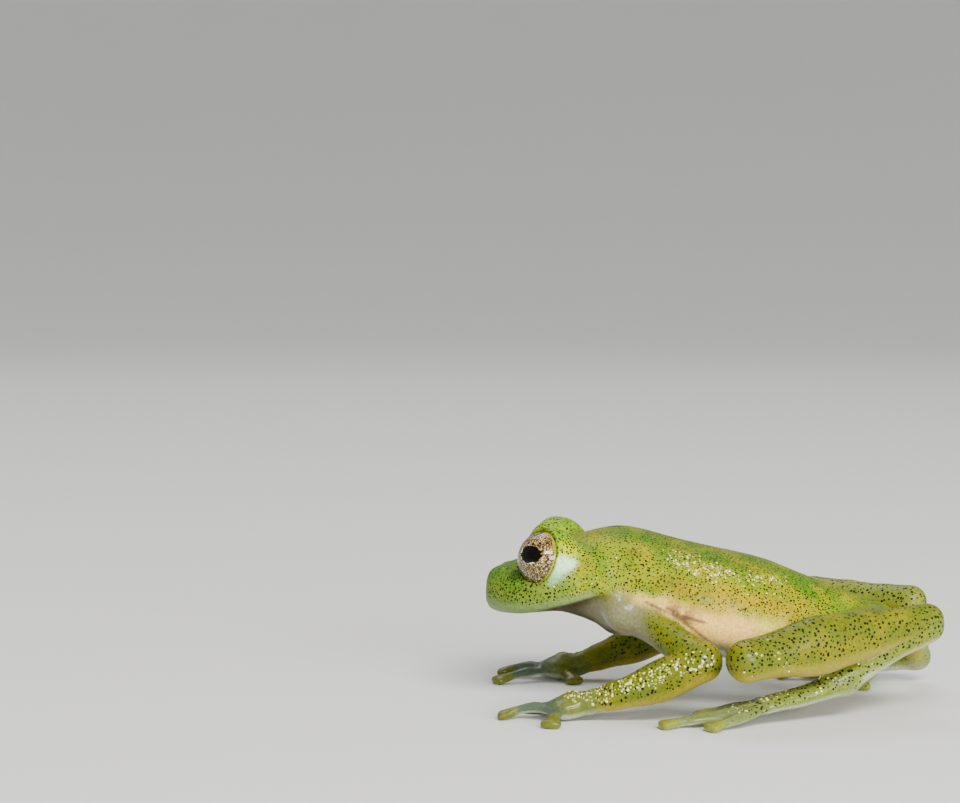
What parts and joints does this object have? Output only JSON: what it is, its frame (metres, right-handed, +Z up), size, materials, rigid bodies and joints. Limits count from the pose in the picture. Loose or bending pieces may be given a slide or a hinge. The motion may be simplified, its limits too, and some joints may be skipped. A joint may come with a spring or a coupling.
{
  "type": "glass frog",
  "caption": "Small green glass frog at rest on all four limbs, with large forward eyes, round finger and toe discs and webbed hands and feet, life size.",
  "frame": {"origin": "on the floor under the middle of the animal's bounding box", "axes": "-Y the way the head points, +X the animal's left side, +Z up"},
  "size_m": [0.021, 0.024, 0.0095],
  "materials": {
    "skin": "moist, faintly granular, yellow-green with fine dark dots",
    "limb_skin": "moist, smooth, translucent yellow-green with fine dark dots",
    "digit_skin": "moist, translucent grey-green with yellowish discs",
    "eye": "wet and glossy, pale gold with brown netting"
  },
  "bodies": {
    "root": {"head": "skin", "torso": "skin", "eye_left": "eye", "eye_right": "eye", "upper_arm_left": "limb_skin", "upper_arm_right": "limb_skin", "forearm_left": "limb_skin", "forearm_right": "limb_skin", "hand_left": "digit_skin", "hand_right": "digit_skin", "thigh_left": "limb_skin", "thigh_right": "limb_skin", "shank_left": "limb_skin", "shank_right": "limb_skin", "tarsus_left": "limb_skin", "tarsus_right": "limb_skin", "foot_left": "digit_skin", "foot_right": "digit_skin"}
  },
  "joints": []
}
